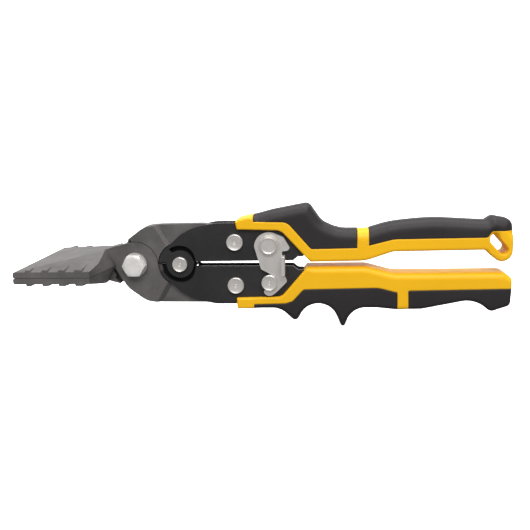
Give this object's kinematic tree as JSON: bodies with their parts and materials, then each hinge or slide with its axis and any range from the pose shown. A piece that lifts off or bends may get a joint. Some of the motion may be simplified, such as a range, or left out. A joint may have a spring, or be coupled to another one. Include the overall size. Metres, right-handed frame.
{
  "type": "hand seamer",
  "caption": "Hand seamer for folding sheet metal: wide flat jaws on latching compound-action handles with moulded two-colour grips.",
  "frame": {"origin": "centre of the object's box, in the middle plane of the jaws and handles", "axes": "+X from the jaws to the handles' ends, +Y along the pivot pins away from the latch side, +Z from the lower handle to the upper one"},
  "size_m": [0.2606, 0.0762, 0.0674],
  "materials": {
    "forged_steel": "black oxide on forged steel, slightly rough",
    "plate_steel": "smooth black oxide",
    "nickel_steel": "satin nickel plate",
    "zinc_steel": "bright zinc plate",
    "spring_steel": "oiled black",
    "yellow_plastic": "satin moulded plastic",
    "black_rubber": "soft-touch moulded rubber"
  },
  "bodies": {
    "lower_handle": {"lower_frame_front": "plate_steel", "lower_frame_rear": "plate_steel", "fulcrum_pin": "nickel_steel", "fulcrum_bush": "spring_steel", "return_spring": "spring_steel", "lower_tail_rivet": "nickel_steel", "latch_pin": "nickel_steel", "lower_handle_shell": "yellow_plastic", "finger_grip": "black_rubber", "lower_rear_grip": "black_rubber"},
    "upper_handle": {"upper_frame_front": "plate_steel", "upper_frame_rear": "plate_steel", "upper_tail_rivet": "nickel_steel", "latch_rivet": "nickel_steel", "latch_washer": "nickel_steel", "upper_handle_shell": "yellow_plastic", "thumb_grip": "black_rubber", "palm_grip": "black_rubber"},
    "upper_jaw": {"upper_jaw": "forged_steel", "pivot_bolt": "zinc_steel", "bolt_washer": "zinc_steel", "pivot_nut": "zinc_steel", "nut_washer": "zinc_steel"},
    "lower_jaw": {"lower_jaw": "forged_steel"},
    "latch": {"latch": "nickel_steel"}
  },
  "joints": [
    {"name": "handle_open", "type": "hinge", "parent": "lower_handle", "child": "upper_handle", "pos_m": [-0.049, 0, 0.00128], "axis": [0, -1, 0], "range_deg": [0, 22], "deforming": ["return_spring"]},
    {"name": "upper_jaw_open", "type": "hinge", "parent": "lower_handle", "child": "upper_jaw", "pos_m": [-0.0183, 0, -0.01072], "axis": [0, -1, 0], "range_deg": [0, 5.1]},
    {"name": "lower_jaw_open", "type": "hinge", "parent": "upper_handle", "child": "lower_jaw", "pos_m": [-0.0183, 0, 0.01328], "axis": [0, 1, 0], "range_deg": [0, 5.1]},
    {"name": "latch_release", "type": "hinge", "parent": "upper_handle", "child": "latch", "pos_m": [0.0004, 0, 0.01168], "axis": [0, -1, 0], "range_deg": [0, 12]}
  ],
  "couplings": [
    {"joint": "upper_jaw_open", "follows": "handle_open", "ratio": 0.2314},
    {"joint": "lower_jaw_open", "follows": "handle_open", "ratio": 0.2314}
  ]
}
